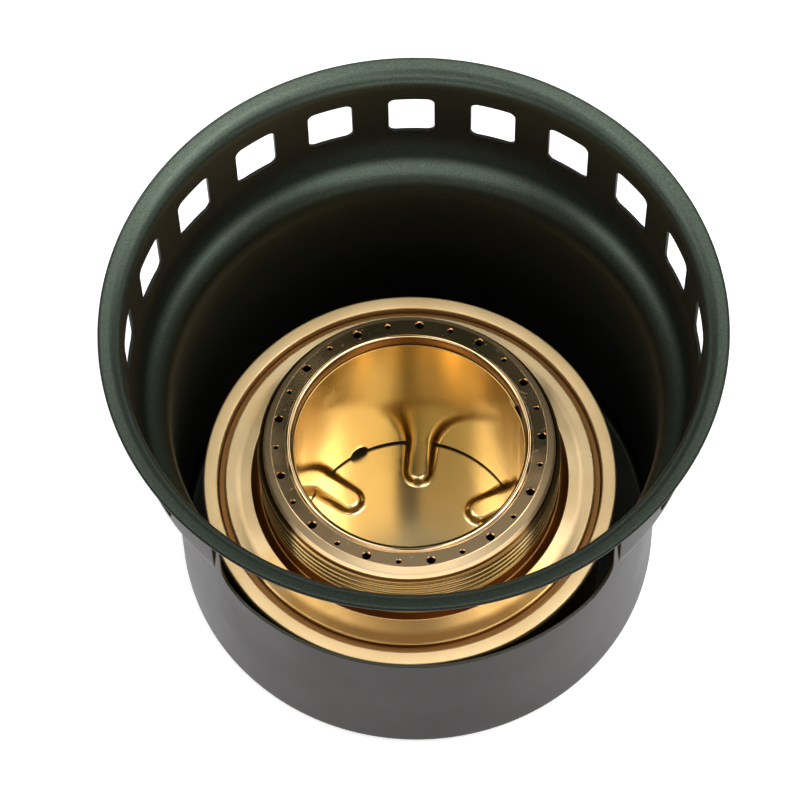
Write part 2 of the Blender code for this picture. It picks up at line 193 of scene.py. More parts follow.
# Painted shade in the stand: heights, with what the green is multiplied by, and with how rough the face is;
# the shade darkens the green deep inside, on the band and round the shoulder's highlight, and leaves it full
# where the shoulder and the lip catch the light
FULL_TONE = (1.0, 1.0, 1.0)
INSIDE_SHADE_COLORS = (
    (SHADE_DEEP, (0.30, 0.25, 0.26)),
    (SHADE_THIN, (0.70, 0.57, 0.52)),
    (SHADE_BELOW, (0.52, 0.43, 0.40)),
    (SHOULDER_SHADE_TO, (0.27, 0.25, 0.23)),
    (SHOULDER_LIT_FROM, FULL_TONE),
    (SHOULDER_LIT_TO, FULL_TONE),
    (BAND_SHADE_FROM, (0.26, 0.25, 0.25)),
    (BAND_SHADE_MIDDLE, (0.33, 0.28, 0.32)),
    (BAND_SHADE_TO, (0.46, 0.41, 0.42)),
    (LIP_LIT_FROM, FULL_TONE),
)
INSIDE_ROUGHNESS_BY_HEIGHT = (
    (SHADE_BELOW, 0.44),
    (SHOULDER_SHADE_TO, 0.40),
    (SHOULDER_LIT_FROM, 0.32),
    (SHOULDER_LIT_TO, 0.32),
    (BAND_SHADE_FROM, 0.44),
    (BAND_SHADE_TO, 0.40),
    (LIP_LIT_FROM, 0.36),
)

# Anodised aluminium: colour, colour of the speckle and roughness
ANODISED_INSIDE = ((0.058, 0.075, 0.057), (0.110, 0.140, 0.108), 0.36)
# The lip's edge carries painted shade: a near-black anodising instead of a lit edge
ANODISED_EDGE_SHADE = ((0.020, 0.022, 0.018), (0.034, 0.037, 0.031), 0.45)
# The outside's warm grey is a painted reflection: the floor's grey sheen on the green anodising, set as its
# colour
ANODISED_OUTSIDE_REFLECTION = ((0.0163, 0.0130, 0.0118), (0.0230, 0.0190, 0.0176), 0.38)
ANODISED_INSIDE_METALLIC = 0.88
SPECKLE_SCALE = 4200.0
SPECKLE_STRENGTH = 0.45
SPECKLE_DEPTH = 0.03 * MM
CLOUD_SCALE = 70.0
CLOUD_SPREAD = 0.03

# Brass: colour, colour of the stains, roughness, scale of the grain and its strength
BRASSES = {
    "matt_brass": ((0.94, 0.70, 0.38), (0.87, 0.63, 0.32), 0.50, 3000.0, 0.40),
    # unshaded_brass: the shoulder's rim and the neck's bevel, kept out of the painted front shade so that
    # their highlights stay bright
    "unshaded_brass": ((1.0, 0.74, 0.43), (0.95, 0.68, 0.37), 0.45, 3000.0, 0.12),
    "satin_brass": ((0.97, 0.73, 0.42), (0.80, 0.56, 0.27), 0.30, 3000.0, 0.14),
    "polished_brass": ((0.95, 0.66, 0.36), (0.92, 0.62, 0.32), 0.09, 2000.0, 0.04),
    "neck_brass": ((0.98, 0.77, 0.45), (0.92, 0.69, 0.37), 0.24, 2500.0, 0.06),
    "rolled_brass": ((0.70, 0.49, 0.18), (0.64, 0.43, 0.145), 0.18, 2500.0, 0.05),
    "pressed_brass": ((1.0, 0.82, 0.46), (0.98, 0.75, 0.38), 0.22, 2500.0, 0.02),
    # outer_shaded_brass: painted shade, a darker copy of the brass on the cup's outside, set against the
    # floor's bright reflection
    "outer_shaded_brass": ((0.60, 0.44, 0.22), (0.52, 0.37, 0.17), 0.34, 3000.0, 0.15),
    "stained_brass": ((0.28, 0.13, 0.04), (0.20, 0.09, 0.025), 0.25, 2500.0, 0.10),
    # shaded_groove_brass: painted shade in the groove, and a painted reflection of the neck in the channel at
    # its foot
    "shaded_groove_brass": ((0.30, 0.14, 0.04), (0.21, 0.10, 0.03), 0.32, 2500.0, 0.10),
}
CUP_BRASSES = ("matt_brass", "pressed_brass", "outer_shaded_brass")
TOP_BRASSES = ("polished_brass", "neck_brass", "satin_brass", "stained_brass", "shaded_groove_brass", "unshaded_brass")
STAIN_SCALE = 90.0
STAIN_DULL = 0.04
STAIN_BRIGHT = 0.03
GRAIN_DEPTH = 0.01 * MM

# Painted shade on the front of the burner's top, where it faces the window: shares of the fade, and the
# colours that the brass is multiplied by
FRONT_SHADE = ((0.0, FULL_TONE), (0.45, (0.80, 0.67, 0.42)), (0.85, (0.50, 0.40, 0.25)))
FRONT_SHADE_FULL = -1.0
FRONT_SHADE_GONE = -0.45
FRONT_SHADE_SCALE = 160.0
FRONT_SHADE_UNEVEN = 0.08

# Marks on the brass
SCRATCH_SCALE = 1000.0
SCRATCH_WIDTH = 0.02
SCRATCH_ROUGHNESS = 0.4
SCRATCH_PATCH_SCALE = 700.0
SCRATCH_PATCH = (0.62, 0.68)
WAVE_SCALE = 170.0
WAVE_STRENGTH = 0.5
WAVE_DEPTH = 0.06 * MM
TURNED_STRENGTH = 0.65
QUARTER_TURN = 0.25
# Painted shade in the roots of the neck's thread: its colour, and how far up the thread it reaches
ROOT_SHADE_COLOR = (0.38, 0.21, 0.08)
ROOT_SHADE_REACH = 0.45

# Wick
FELT = ((0.78, 0.74, 0.66), (0.60, 0.55, 0.47))
FELT_ROUGHNESS = 0.95
FIBRE_SCALE = 2500.0
FIBRE_STRETCH = (1.0, 1.0, 3.0)
FIBRE_STRENGTH = 0.8
FIBRE_DEPTH = 0.2 * MM

# Studio
FLOOR_SIZE = 3.0
FLOOR_GLOW = 0.60
FAR_FLOOR_GLOW = 1.05
NEAR_FLOOR_RADIUS = 0.45
FAR_FLOOR_RADIUS = 1.4
HORIZON_TOP = 0.07
CEILING_START = 0.16
CEILING_COLOR = (0.02, 0.025, 0.02)
BOX_HEIGHT = 0.75
LEFT_REACH = (-0.75, -0.055)
RIGHT_REACH = (0.095, 0.65)
FRONT_REACH = (-1.50, -0.75)
MIDDLE_REACH = (-0.75, -0.08)
TOP_REACH = (-0.08, 0.17)
BACK_REACH = (0.17, 0.60)
SIDE_REACH = (-0.55, 0.45)
BRIDGE_REACH = (-0.08, 0.345)

# Soft boxes: their reach in X, their reach in Y, and how bright their faces are
BOXES = {
    "front_box": ((LEFT_REACH[0], RIGHT_REACH[1]), FRONT_REACH, 1.85),
    "left_middle_box": (LEFT_REACH, MIDDLE_REACH, 0.48),
    "right_middle_box": (RIGHT_REACH, MIDDLE_REACH, 1.5),
    "left_top_box": (LEFT_REACH, TOP_REACH, 2.5),
    "right_top_box": (RIGHT_REACH, TOP_REACH, 4.5),
    "left_back_box": ((-0.27, -0.12), BACK_REACH, 2.5),
    "right_back_box": ((0.14, 0.29), BACK_REACH, 2.5),
    "left_side_box": ((-1.60, -0.80), SIDE_REACH, 1.9),
    "right_side_box": ((0.70, 1.50), SIDE_REACH, 1.9),
    "bridge_box": ((LEFT_REACH[1], RIGHT_REACH[0]), BRIDGE_REACH, 0.22),
}

# Camera
CAMERA_TARGET = Vector((6.87, 0.0, 50.41)) * MM
CAMERA_DISTANCE = 700.86 * MM
CAMERA_ELEVATION = math.radians(61.98)
CAMERA_AZIMUTH = math.radians(-0.85)
CAMERA_LENS = 180.0
CAMERA_SENSOR = 36.0
CAMERA_SHIFT = -0.0679
CAMERA_CLIP = (0.01, 20.0)


# Shapes

def arc_points(before, corner, after, radius):
    """Points round a corner between two straight runs."""
    start = (before - corner).normalized()
    end = (after - corner).normalized()
    half_angle = start.angle(end) / 2.0
    reach = radius / math.tan(half_angle)
    centre = corner + (start + end).normalized() * (radius / math.sin(half_angle))
    first = corner + start * reach - centre
    turn = first.angle_signed(corner + end * reach - centre)
    return [centre + Matrix.Rotation(-turn * step / ARC_STEPS, 2) @ first for step in range(ARC_STEPS + 1)]


def rounded_path(corners, longest=LONGEST_RUN):
    """(radius, height) points from corners given as (radius, height, bend), with no run over the longest."""
    spots = [Vector(corner[:2]) for corner in corners]
    points = []
    for index, spot in enumerate(spots):
        bend = corners[index][2]
        fresh = arc_points(spots[index - 1], spot, spots[index + 1], bend) if bend else [spot]
        if points:
            start = points[-1]
            cuts = max(1, math.ceil((fresh[0] - start).length / longest))
            points.extend(start.lerp(fresh[0], cut / cuts) for cut in range(1, cuts))
        points.extend(fresh)
    return points


def finish_object(name, mesh, body, materials, nodes=()):
    """Link the mesh as a piece that rides on a body and stands for the given nodes."""
    piece = bpy.data.objects.new(name, mesh)
    bpy.context.scene.collection.objects.link(piece)
    for material in materials:
        mesh.materials.append(material)
    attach(piece, body)
    if nodes:
        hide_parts(*nodes)
    return piece


def turned_mesh(name, path, segments, centre=(0.0, 0.0), warp=None, slot_of=None):
    """A sheet turned from a path of (radius, height) points.

    The function warp may move a point of the sheet, and slot_of picks a material slot by place.
    """
    sheet = bmesh.new()
    rings = []
    for point in path:
        count = 1 if point.x < ON_AXIS else segments
        ring = []
        for step in range(count):
            angle = math.tau * step / segments
            radius, height = warp(point.x, point.y, angle) if warp else (point.x, point.y)
            ring.append(sheet.verts.new((centre[0] + radius * math.cos(angle),
                                         centre[1] + radius * math.sin(angle), height)))
        rings.append(ring)
    for index, (upper, lower) in enumerate(zip(rings, rings[1:])):
        slot = slot_of(*((path[index] + path[index + 1]) / 2.0)) if slot_of else 0
        for step in range(segments):
            after = (step + 1) % segments
            corners = [upper[step % len(upper)], lower[step % len(lower)],
                       lower[after % len(lower)], upper[after % len(upper)]]
            sheet.faces.new(list(dict.fromkeys(corners))).material_index = slot
    for face in sheet.faces:
        face.smooth = True
    mesh = bpy.data.meshes.new(name)
    sheet.to_mesh(mesh)
    sheet.free()
    return mesh


def back_of_sheet(path, thickness):
    """The back side of a bent sheet, whose path runs with the back on its right."""
    back = []
    for index, point in enumerate(path):
        along = path[min(index + 1, len(path) - 1)] - path[max(index - 1, 0)]
        along.normalize()
        back.append(point + Vector((along.y, -along.x)) * thickness)
    return back


def add_sheet(piece, thickness, back_slots=0):
    """Give a turned sheet its thickness behind its faces, with its back some material slots further on."""
    solidify = piece.modifiers.new("sheet", "SOLIDIFY")
    solidify.thickness = thickness
    solidify.offset = -1.0
    solidify.use_even_offset = True
    solidify.material_offset = back_slots


def add_cut(piece, tool):
    """Cut the tool out of the piece."""
    cut = piece.modifiers.new("cut", "BOOLEAN")
    cut.operation = "DIFFERENCE"
    cut.solver = "EXACT"
    cut.object = tool


def bake_modifiers(piece):
    """Turn the piece's modifiers into its mesh."""
    graph = bpy.context.evaluated_depsgraph_get()
    mesh = bpy.data.meshes.new_from_object(piece.evaluated_get(graph), depsgraph=graph)
    mesh.name = piece.name
    piece.modifiers.clear()
    old = piece.data
    piece.data = mesh
    bpy.data.meshes.remove(old)


def soften_edges(piece, width, limit=math.radians(40.0), segments=2):
    """Round off the sharp edges a little and keep the wide faces' shading true."""
    bevel = piece.modifiers.new("edges", "BEVEL")
    bevel.width = width
    bevel.segments = segments
    bevel.limit_method = "ANGLE"
    bevel.angle_limit = limit
    bevel.use_clamp_overlap = False
    bevel.harden_normals = False
    normals = piece.modifiers.new("normals", "WEIGHTED_NORMAL")
    normals.keep_sharp = True
    normals.weight = 80


def cutter(name, mesh):
    """A helper object for cuts, taken away again after use."""
    tool = bpy.data.objects.new(name, mesh)
    bpy.context.scene.collection.objects.link(tool)
    return tool


def remove(tool):
    """Take a helper object away."""
    mesh = tool.data
    bpy.data.objects.remove(tool)
    bpy.data.meshes.remove(mesh)


def rounded_block(low, high, bends, placement, segments=6):
    """A block whose edges along Y are rounded: bends holds the lower and the upper radius."""
    low = Vector(low)
    high = Vector(high)
    block = bmesh.new()
    scale = Matrix.Diagonal((*(high - low), 1.0))
    bmesh.ops.create_cube(block, size=1.0, matrix=Matrix.Translation((low + high) / 2.0) @ scale)
    middle = (low.z + high.z) / 2.0
    for upper, bend in zip((False, True), bends):
        edges = []
        for edge in block.edges:
            start, end = (vertex.co for vertex in edge.verts)
            along_y = abs(end.y - start.y) > (high.y - low.y) / 2.0
            if along_y and (start.z > middle) == upper:
                edges.append(edge)
        bmesh.ops.bevel(block, geom=edges, offset=bend, segments=segments, profile=0.5, affect="EDGES")
    block.transform(placement)
    return block


def joined_mesh(name, shapes):
    """One mesh of several closed shapes."""
    whole = bmesh.new()
    for shape in shapes:
        piece = bpy.data.meshes.new(name)
        shape.to_mesh(piece)
        shape.free()
        whole.from_mesh(piece)
        bpy.data.meshes.remove(piece)
    bmesh.ops.recalc_face_normals(whole, faces=whole.faces)
    mesh = bpy.data.meshes.new(name)
    whole.to_mesh(mesh)
    whole.free()
    return mesh


# Materials

def new_material(name, color, metallic, roughness):
    """A Principled material; returns it with its nodes, links and shader."""
    material = bpy.data.materials.new(name)
    material.use_nodes = True
    nodes = material.node_tree.nodes
    shader = nodes["Principled BSDF"]
    shader.inputs["Base Color"].default_value = (*color, 1.0)
    shader.inputs["Metallic"].default_value = metallic
    shader.inputs["Roughness"].default_value = roughness
    return material, nodes, material.node_tree.links, shader


def add_noise(nodes, links, scale, detail=3.0, stretch=None):
    """A noise texture in object space, with its output in 0 to 1."""
    place = nodes.new("ShaderNodeTexCoord")
    noise = nodes.new("ShaderNodeTexNoise")
    noise.inputs["Scale"].default_value = scale
    noise.inputs["Detail"].default_value = detail
    source = place.outputs["Object"]
    if stretch:
        mapping = nodes.new("ShaderNodeMapping")
        mapping.inputs["Scale"].default_value = stretch
        links.new(source, mapping.inputs["Vector"])
        source = mapping.outputs["Vector"]
    links.new(source, noise.inputs["Vector"])
    return noise.outputs["Fac"]


def map_range(nodes, links, source, low, high, start=0.3, end=0.7):
    """The source's range from start to end, mapped to low to high."""
    node = nodes.new("ShaderNodeMapRange")
    node.inputs["From Min"].default_value = start
    node.inputs["From Max"].default_value = end
    node.inputs["To Min"].default_value = low
    node.inputs["To Max"].default_value = high
    links.new(source, node.inputs["Value"])
    return node.outputs["Result"]


def mix_colors(nodes, links, factor, first, second):
    """A mix of two colours by a factor."""
    node = nodes.new("ShaderNodeMix")
    node.data_type = "RGBA"
    node.inputs[6].default_value = (*first, 1.0)
    node.inputs[7].default_value = (*second, 1.0)
    links.new(factor, node.inputs["Factor"])
    return node.outputs[2]


def add_bump(nodes, links, shader, height, strength, distance):
    """A bump from the height, on the shader's normal."""
    bump = nodes.new("ShaderNodeBump")
    bump.inputs["Strength"].default_value = strength
    bump.inputs["Distance"].default_value = distance
    links.new(height, bump.inputs["Height"])
    links.new(bump.outputs["Normal"], shader.inputs["Normal"])


def anodised(name, color, speckle_color, roughness):
    """Satin anodised aluminium with a fine speckle."""
    material, nodes, links, shader = new_material(name, color, 1.0, roughness)
    speckle = add_noise(nodes, links, SPECKLE_SCALE, 2.0)
    tint = mix_colors(nodes, links, map_range(nodes, links, speckle, 0.0, 1.0), color, speckle_color)
    links.new(tint, shader.inputs["Base Color"])
    add_bump(nodes, links, shader, speckle, SPECKLE_STRENGTH, SPECKLE_DEPTH)
    return material


def clouded(material):
    """Give a material faint clouds in its gloss."""
    nodes = material.node_tree.nodes
    links = material.node_tree.links
    roughness = nodes["Principled BSDF"].inputs["Roughness"]
    middle = roughness.default_value
    cloud = add_noise(nodes, links, CLOUD_SCALE, 3.0)
    links.new(map_range(nodes, links, cloud, middle - CLOUD_SPREAD, middle + CLOUD_SPREAD), roughness)
    return material


def by_height(nodes, links, stops):
    """A colour ramp over the height in the object: stops holds pairs of height and colour."""
    place = nodes.new("ShaderNodeTexCoord")
    split = nodes.new("ShaderNodeSeparateXYZ")
    level = nodes.new("ShaderNodeMath")
    ramp = nodes.new("ShaderNodeValToRGB")
    level.operation = "DIVIDE"
    level.inputs[1].default_value = LIP_HEIGHT
    links.new(place.outputs["Object"], split.inputs[0])
    links.new(split.outputs["Z"], level.inputs[0])
    links.new(level.outputs[0], ramp.inputs["Fac"])
    elements = ramp.color_ramp.elements
    while len(elements) < len(stops):
        elements.new(0.5)
    for element, (height, color) in zip(elements, stops):
        element.position = height / LIP_HEIGHT
        element.color = (*color, 1.0)
    return ramp.outputs["Color"]


def anodised_inside():
    """The green inside and lip of the stand, darkened by painted shade below the shoulder and between the
    vents.
    """
    material = anodised("anodised_inside", *ANODISED_INSIDE)
    nodes = material.node_tree.nodes
    links = material.node_tree.links
    shader = nodes["Principled BSDF"]
    shader.inputs["Metallic"].default_value = ANODISED_INSIDE_METALLIC
    # painted shade: the green is multiplied down by height, darkest deep inside
    multiply_color(material, by_height(nodes, links, INSIDE_SHADE_COLORS))
    dull = by_height(nodes, links, [(height, (value, value, value)) for height, value in INSIDE_ROUGHNESS_BY_HEIGHT])
    links.new(dull, shader.inputs["Roughness"])
    return material


def anodised_edge_shade():
    """The rounded upper edge of the lip, painted near-black as shade where its rounding would otherwise catch
    the light.
    """
    return clouded(anodised("anodised_edge_shade", *ANODISED_EDGE_SHADE))


def anodised_outside_reflection():
    """The outside of the stand, a warm grey that is a painted reflection of the floor on the green anodising.
    """
    return clouded(anodised("anodised_outside_reflection", *ANODISED_OUTSIDE_REFLECTION))


def brass(name, color, deep, roughness, grain, grain_strength):
    """Brass with soft stains and fine rubbed grain."""
    material, nodes, links, shader = new_material(name, color, 1.0, roughness)
    stain = add_noise(nodes, links, STAIN_SCALE, 4.0)
    fine = add_noise(nodes, links, grain, 2.0)
    tint = mix_colors(nodes, links, map_range(nodes, links, stain, 0.0, 1.0), deep, color)
    links.new(tint, shader.inputs["Base Color"])
    gloss = map_range(nodes, links, stain, roughness + STAIN_DULL, roughness - STAIN_BRIGHT)
    links.new(gloss, shader.inputs["Roughness"])
    add_bump(nodes, links, shader, fine, grain_strength, GRAIN_DEPTH)
    return material


def centred_on_burner(nodes, links):
    """The place in the object, measured from the burner's axis."""
    place = nodes.new("ShaderNodeTexCoord")
    centred = nodes.new("ShaderNodeVectorMath")
    centred.operation = "SUBTRACT"
    centred.inputs[1].default_value = (BURNER_X, BURNER_Y, 0.0)
    level = nodes.new("ShaderNodeVectorMath")
    level.operation = "MULTIPLY"
    level.inputs[1].default_value = (1.0, 1.0, 0.0)
    links.new(place.outputs["Object"], centred.inputs[0])
    links.new(centred.outputs["Vector"], level.inputs[0])
    return level.outputs["Vector"]


def multiply_color(material, color):
    """Multiply the material's colour by another colour."""
    nodes = material.node_tree.nodes
    links = material.node_tree.links
    shader = nodes["Principled BSDF"]
    product = nodes.new("ShaderNodeMix")
    product.data_type = "RGBA"
    product.blend_type = "MULTIPLY"
    product.inputs["Factor"].default_value = 1.0
    links.new(shader.inputs["Base Color"].links[0].from_socket, product.inputs[6])
    links.new(color, product.inputs[7])
    links.new(product.outputs[2], shader.inputs["Base Color"])


def front_shaded(material):
    """The material, darkened by painted shade on the side where the burner faces the window."""
    nodes = material.node_tree.nodes
    links = material.node_tree.links
    direction = nodes.new("ShaderNodeVectorMath")
    direction.operation = "NORMALIZE"
    links.new(centred_on_burner(nodes, links), direction.inputs[0])
    split = nodes.new("ShaderNodeSeparateXYZ")
    links.new(direction.outputs["Vector"], split.inputs[0])
    uneven = nodes.new("ShaderNodeMath")
    uneven.operation = "ADD"
    links.new(split.outputs["Y"], uneven.inputs[0])
    cloud = add_noise(nodes, links, FRONT_SHADE_SCALE, 3.0)
    links.new(map_range(nodes, links, cloud, -FRONT_SHADE_UNEVEN, FRONT_SHADE_UNEVEN), uneven.inputs[1])
    fade = map_range(nodes, links, uneven.outputs[0], 1.0, 0.0, FRONT_SHADE_FULL, FRONT_SHADE_GONE)
    ramp = nodes.new("ShaderNodeValToRGB")
    links.new(fade, ramp.inputs["Fac"])
    elements = ramp.color_ramp.elements
    elements.new(0.5)
    for element, (position, color) in zip(elements, FRONT_SHADE):
        element.position = position
        element.color = (*color, 1.0)
    multiply_color(material, ramp.outputs["Color"])
    return material


def scratched(material):
    """Give a material a wavy face and a few short dull scratches."""
    nodes = material.node_tree.nodes
    links = material.node_tree.links
    shader = nodes["Principled BSDF"]
    place = nodes.new("ShaderNodeTexCoord")
    cells = nodes.new("ShaderNodeTexVoronoi")
    cells.feature = "DISTANCE_TO_EDGE"
    cells.inputs["Scale"].default_value = SCRATCH_SCALE
    links.new(place.outputs["Object"], cells.inputs["Vector"])
    line = map_range(nodes, links, cells.outputs["Distance"], 1.0, 0.0, 0.0, SCRATCH_WIDTH)
    cloud = add_noise(nodes, links, SCRATCH_PATCH_SCALE, 2.0)
    patch = map_range(nodes, links, cloud, 0.0, 1.0, *SCRATCH_PATCH)
    both = nodes.new("ShaderNodeMath")
    both.operation = "MULTIPLY"
    links.new(line, both.inputs[0])
    links.new(patch, both.inputs[1])
    dull = nodes.new("ShaderNodeMix")
    links.new(both.outputs[0], dull.inputs["Factor"])
    links.new(shader.inputs["Roughness"].links[0].from_socket, dull.inputs["A"])
    dull.inputs["B"].default_value = SCRATCH_ROUGHNESS
    links.new(dull.outputs["Result"], shader.inputs["Roughness"])
    wave = nodes.new("ShaderNodeBump")
    wave.inputs["Strength"].default_value = WAVE_STRENGTH
    wave.inputs["Distance"].default_value = WAVE_DEPTH
    links.new(add_noise(nodes, links, WAVE_SCALE, 1.0), wave.inputs["Height"])
    grain = shader.inputs["Normal"].links[0].from_node
    links.new(wave.outputs["Normal"], grain.inputs["Normal"])
    return material


def turned(material):
    """Give a material the fine rings of a lathe, round the burner's axis."""
    nodes = material.node_tree.nodes
    links = material.node_tree.links
    shader = nodes["Principled BSDF"]
    rings = nodes.new("ShaderNodeTangent")
    rings.direction_type = "RADIAL"
    rings.axis = "Z"
    links.new(rings.outputs["Tangent"], shader.inputs["Tangent"])
    shader.inputs["Anisotropic"].default_value = TURNED_STRENGTH
    shader.inputs["Anisotropic Rotation"].default_value = QUARTER_TURN
    return material


def threaded(material):
    """The neck's brass with painted shade in the roots of its thread."""
    nodes = material.node_tree.nodes
    links = material.node_tree.links
    shader = nodes["Principled BSDF"]
    centre = nodes.new("ShaderNodeVectorMath")
    centre.operation = "LENGTH"
    links.new(centred_on_burner(nodes, links), centre.inputs[0])
    root_shade = nodes.new("ShaderNodeMix")
    root_shade.data_type = "RGBA"
    root_shade.inputs[7].default_value = (*ROOT_SHADE_COLOR, 1.0)
    root_shade_end = THREAD_ROOT + ROOT_SHADE_REACH * THREAD_DEPTH
    depth = map_range(nodes, links, centre.outputs["Value"], 1.0, 0.0, THREAD_ROOT, root_shade_end)
    links.new(depth, root_shade.inputs["Factor"])
    links.new(shader.inputs["Base Color"].links[0].from_socket, root_shade.inputs[6])
    links.new(root_shade.outputs[2], shader.inputs["Base Color"])
    return material


def felt(name, color, deep):
    """Matted fibre."""
    material, nodes, links, shader = new_material(name, color, 0.0, FELT_ROUGHNESS)
    fibre = add_noise(nodes, links, FIBRE_SCALE, 5.0, FIBRE_STRETCH)
    links.new(mix_colors(nodes, links, map_range(nodes, links, fibre, 0.0, 1.0), deep, color),
              shader.inputs["Base Color"])
    add_bump(nodes, links, shader, fibre, FIBRE_STRENGTH, FIBRE_DEPTH)
    return material


# Pieces

def make_stand():
    """The stand: drawn shell, vents, window and their softened edges."""
    bends = [
        (0.0, STAND_SHEET, 0.0),
        (WALL_RADIUS, STAND_SHEET, FLOOR_CORNER),
        (WALL_RADIUS, SHOULDER_HEIGHT, SHOULDER_BEND),
        (CREASE_RADIUS, CREASE_HEIGHT, CREASE_BEND),
        (BAND_TOP_RADIUS, LIP_HEIGHT - LIP_FLARE_DROP, LIP_BEND),
        (LIP_RADIUS - LIP_FLAT_WIDTH, LIP_HEIGHT, LIP_FLAT_BEND),
    ]
    middle = rounded_path(bends + [(LIP_RADIUS, LIP_HEIGHT, 0.0)])
    back = [point for point in back_of_sheet(middle, STAND_SHEET) if point.x < LIP_RADIUS - LIP_FLAT_WIDTH]
    front = rounded_path(bends + [
        (LIP_RADIUS, LIP_HEIGHT, LIP_EDGE_ROUND),
        (LIP_RADIUS, LIP_HEIGHT - STAND_SHEET, LIP_EDGE_BACK_ROUND),
        (LIP_RADIUS - LIP_EDGE_ROUND, LIP_HEIGHT - STAND_SHEET, 0.0),
    ])
    mesh = turned_mesh("stand_shell", front + back[::-1], STAND_SEGMENTS)
    # the front path ends with the bend of the lip's edge, the bend behind it and one last point
    edge_starts = (len(front) - 2 * ARC_STEPS - 3) * STAND_SEGMENTS
    outside_starts = (len(front) - ARC_STEPS - 3) * STAND_SEGMENTS
    for face in mesh.polygons:
        face.material_index = (face.index >= edge_starts) + (face.index >= outside_starts)
    materials = [anodised_inside(), anodised_edge_shade(), anodised_outside_reflection()]
    piece = finish_object("stand_shell", mesh, "stand", materials, ["stand"])
    outside = LIP_RADIUS + CUT_OVERRUN
    inside = CREASE_RADIUS - CUT_OVERRUN
    half_window = WINDOW_WIDTH / 2.0
    half_vent = VENT_WIDTH / 2.0
    shapes = [rounded_block((-half_window, -outside, SILL_HEIGHT), (half_window, 0.0, VENT_TOP),
                            (SILL_CORNER, VENT_CORNER), Matrix.Identity(4))]
    for index in range(VENT_COUNT):
        turn = (index - (VENT_COUNT - 1) / 2.0) * VENT_PITCH_ANGLE
        shapes.append(rounded_block((-half_vent, inside, VENT_BOTTOM), (half_vent, outside, VENT_TOP),
                                    (VENT_CORNER, VENT_CORNER), Matrix.Rotation(turn, 4, "Z")))
    tool = cutter("stand_cuts", joined_mesh("stand_cuts", shapes))
    add_cut(piece, tool)
    soften_edges(piece, CUT_EDGE)
    bake_modifiers(piece)
    remove(tool)
    return piece


def ridge_height(radius, angle):
    """How far the cup's floor is raised at a place by its embossed ridges."""
    height = 0.0
    for index in range(RIDGE_COUNT):
        direction = math.radians(90.0) - RIDGE_TURN + math.tau * index / RIDGE_COUNT
        along = radius * math.cos(angle - direction)
        across = radius * math.sin(angle - direction)
        start = RIDGE_START
        if along < start:
            distance = math.hypot(along - start, across)
        else:
            distance = abs(across)
        share = min(max((RIDGE_HALF_TOP + RIDGE_SLOPE - distance) / RIDGE_SLOPE, 0.0), 1.0)
        height = max(height, share * share * (3.0 - 2.0 * share))
    return height * RIDGE_HEIGHT


def make_cup(materials):
    """The burner's cup: embossed floor, foot ring, wall and hemmed flange."""
    floor = [Vector((FLAT_FLOOR_RADIUS * step / FLOOR_STEPS, CUP_FLOOR)) for step in range(FLOOR_STEPS)]
    path = floor + rounded_path([
        (FLAT_FLOOR_RADIUS, CUP_FLOOR, 0.0),
        (FLOOR_EDGE_RADIUS, CUP_FLOOR, FLOOR_BEND),
        (FOOT_INNER_RADIUS, BURNER_BASE + BRASS_SHEET, FLOOR_BEND),
        (CUP_WALL, BURNER_BASE + BRASS_SHEET, CUP_CORNER),
        (CUP_WALL, FLANGE_HEIGHT, FLANGE_BEND),
        (FLANGE_RADIUS, FLANGE_HEIGHT, FLANGE_EDGE_BEND),
        (FLANGE_RADIUS, FLANGE_HEIGHT - FLANGE_DROP, FLANGE_UNDER_BEND),
        (HEM_RADIUS, FLANGE_HEIGHT - FLANGE_DROP, 0.0),
    ])

    def emboss(radius, height, angle):
        """Raise the floor along its ridges."""
        if radius < FLOOR_EDGE_RADIUS and height > CUP_FLOOR - MM:
            fade = min(max((FLOOR_EDGE_RADIUS - radius) / RIDGE_FADE, 0.0), 1.0)
            return radius, height + ridge_height(radius, angle) * fade
        return radius, height

    def cup_slot(radius, height):
        """Flange, then floor and wall; the sheet's back is one slot further on."""
        return 1 if height < FLANGE_HEIGHT - CUP_CORNER else 0

    mesh = turned_mesh("cup_shell", path, BURNER_SEGMENTS, (BURNER_X, BURNER_Y), emboss, cup_slot)
    piece = finish_object("cup_shell", mesh, "burner", materials, ["burner_cup"])
    add_sheet(piece, BRASS_SHEET, 1)
    bake_modifiers(piece)
    return piece


def thread_radius(height, angle):
    """How far the neck's thread stands out at a place: a rounded helical ridge that fades at both ends."""
    turns = height / THREAD_PITCH - angle / math.tau
    wave = 0.5 + 0.5 * math.cos(math.tau * turns)
    fade = min((THREAD_TOP - height) / THREAD_FADE, (height - THREAD_BOTTOM) / THREAD_FADE, 1.0)
    return THREAD_DEPTH * wave * max(fade, 0.0)


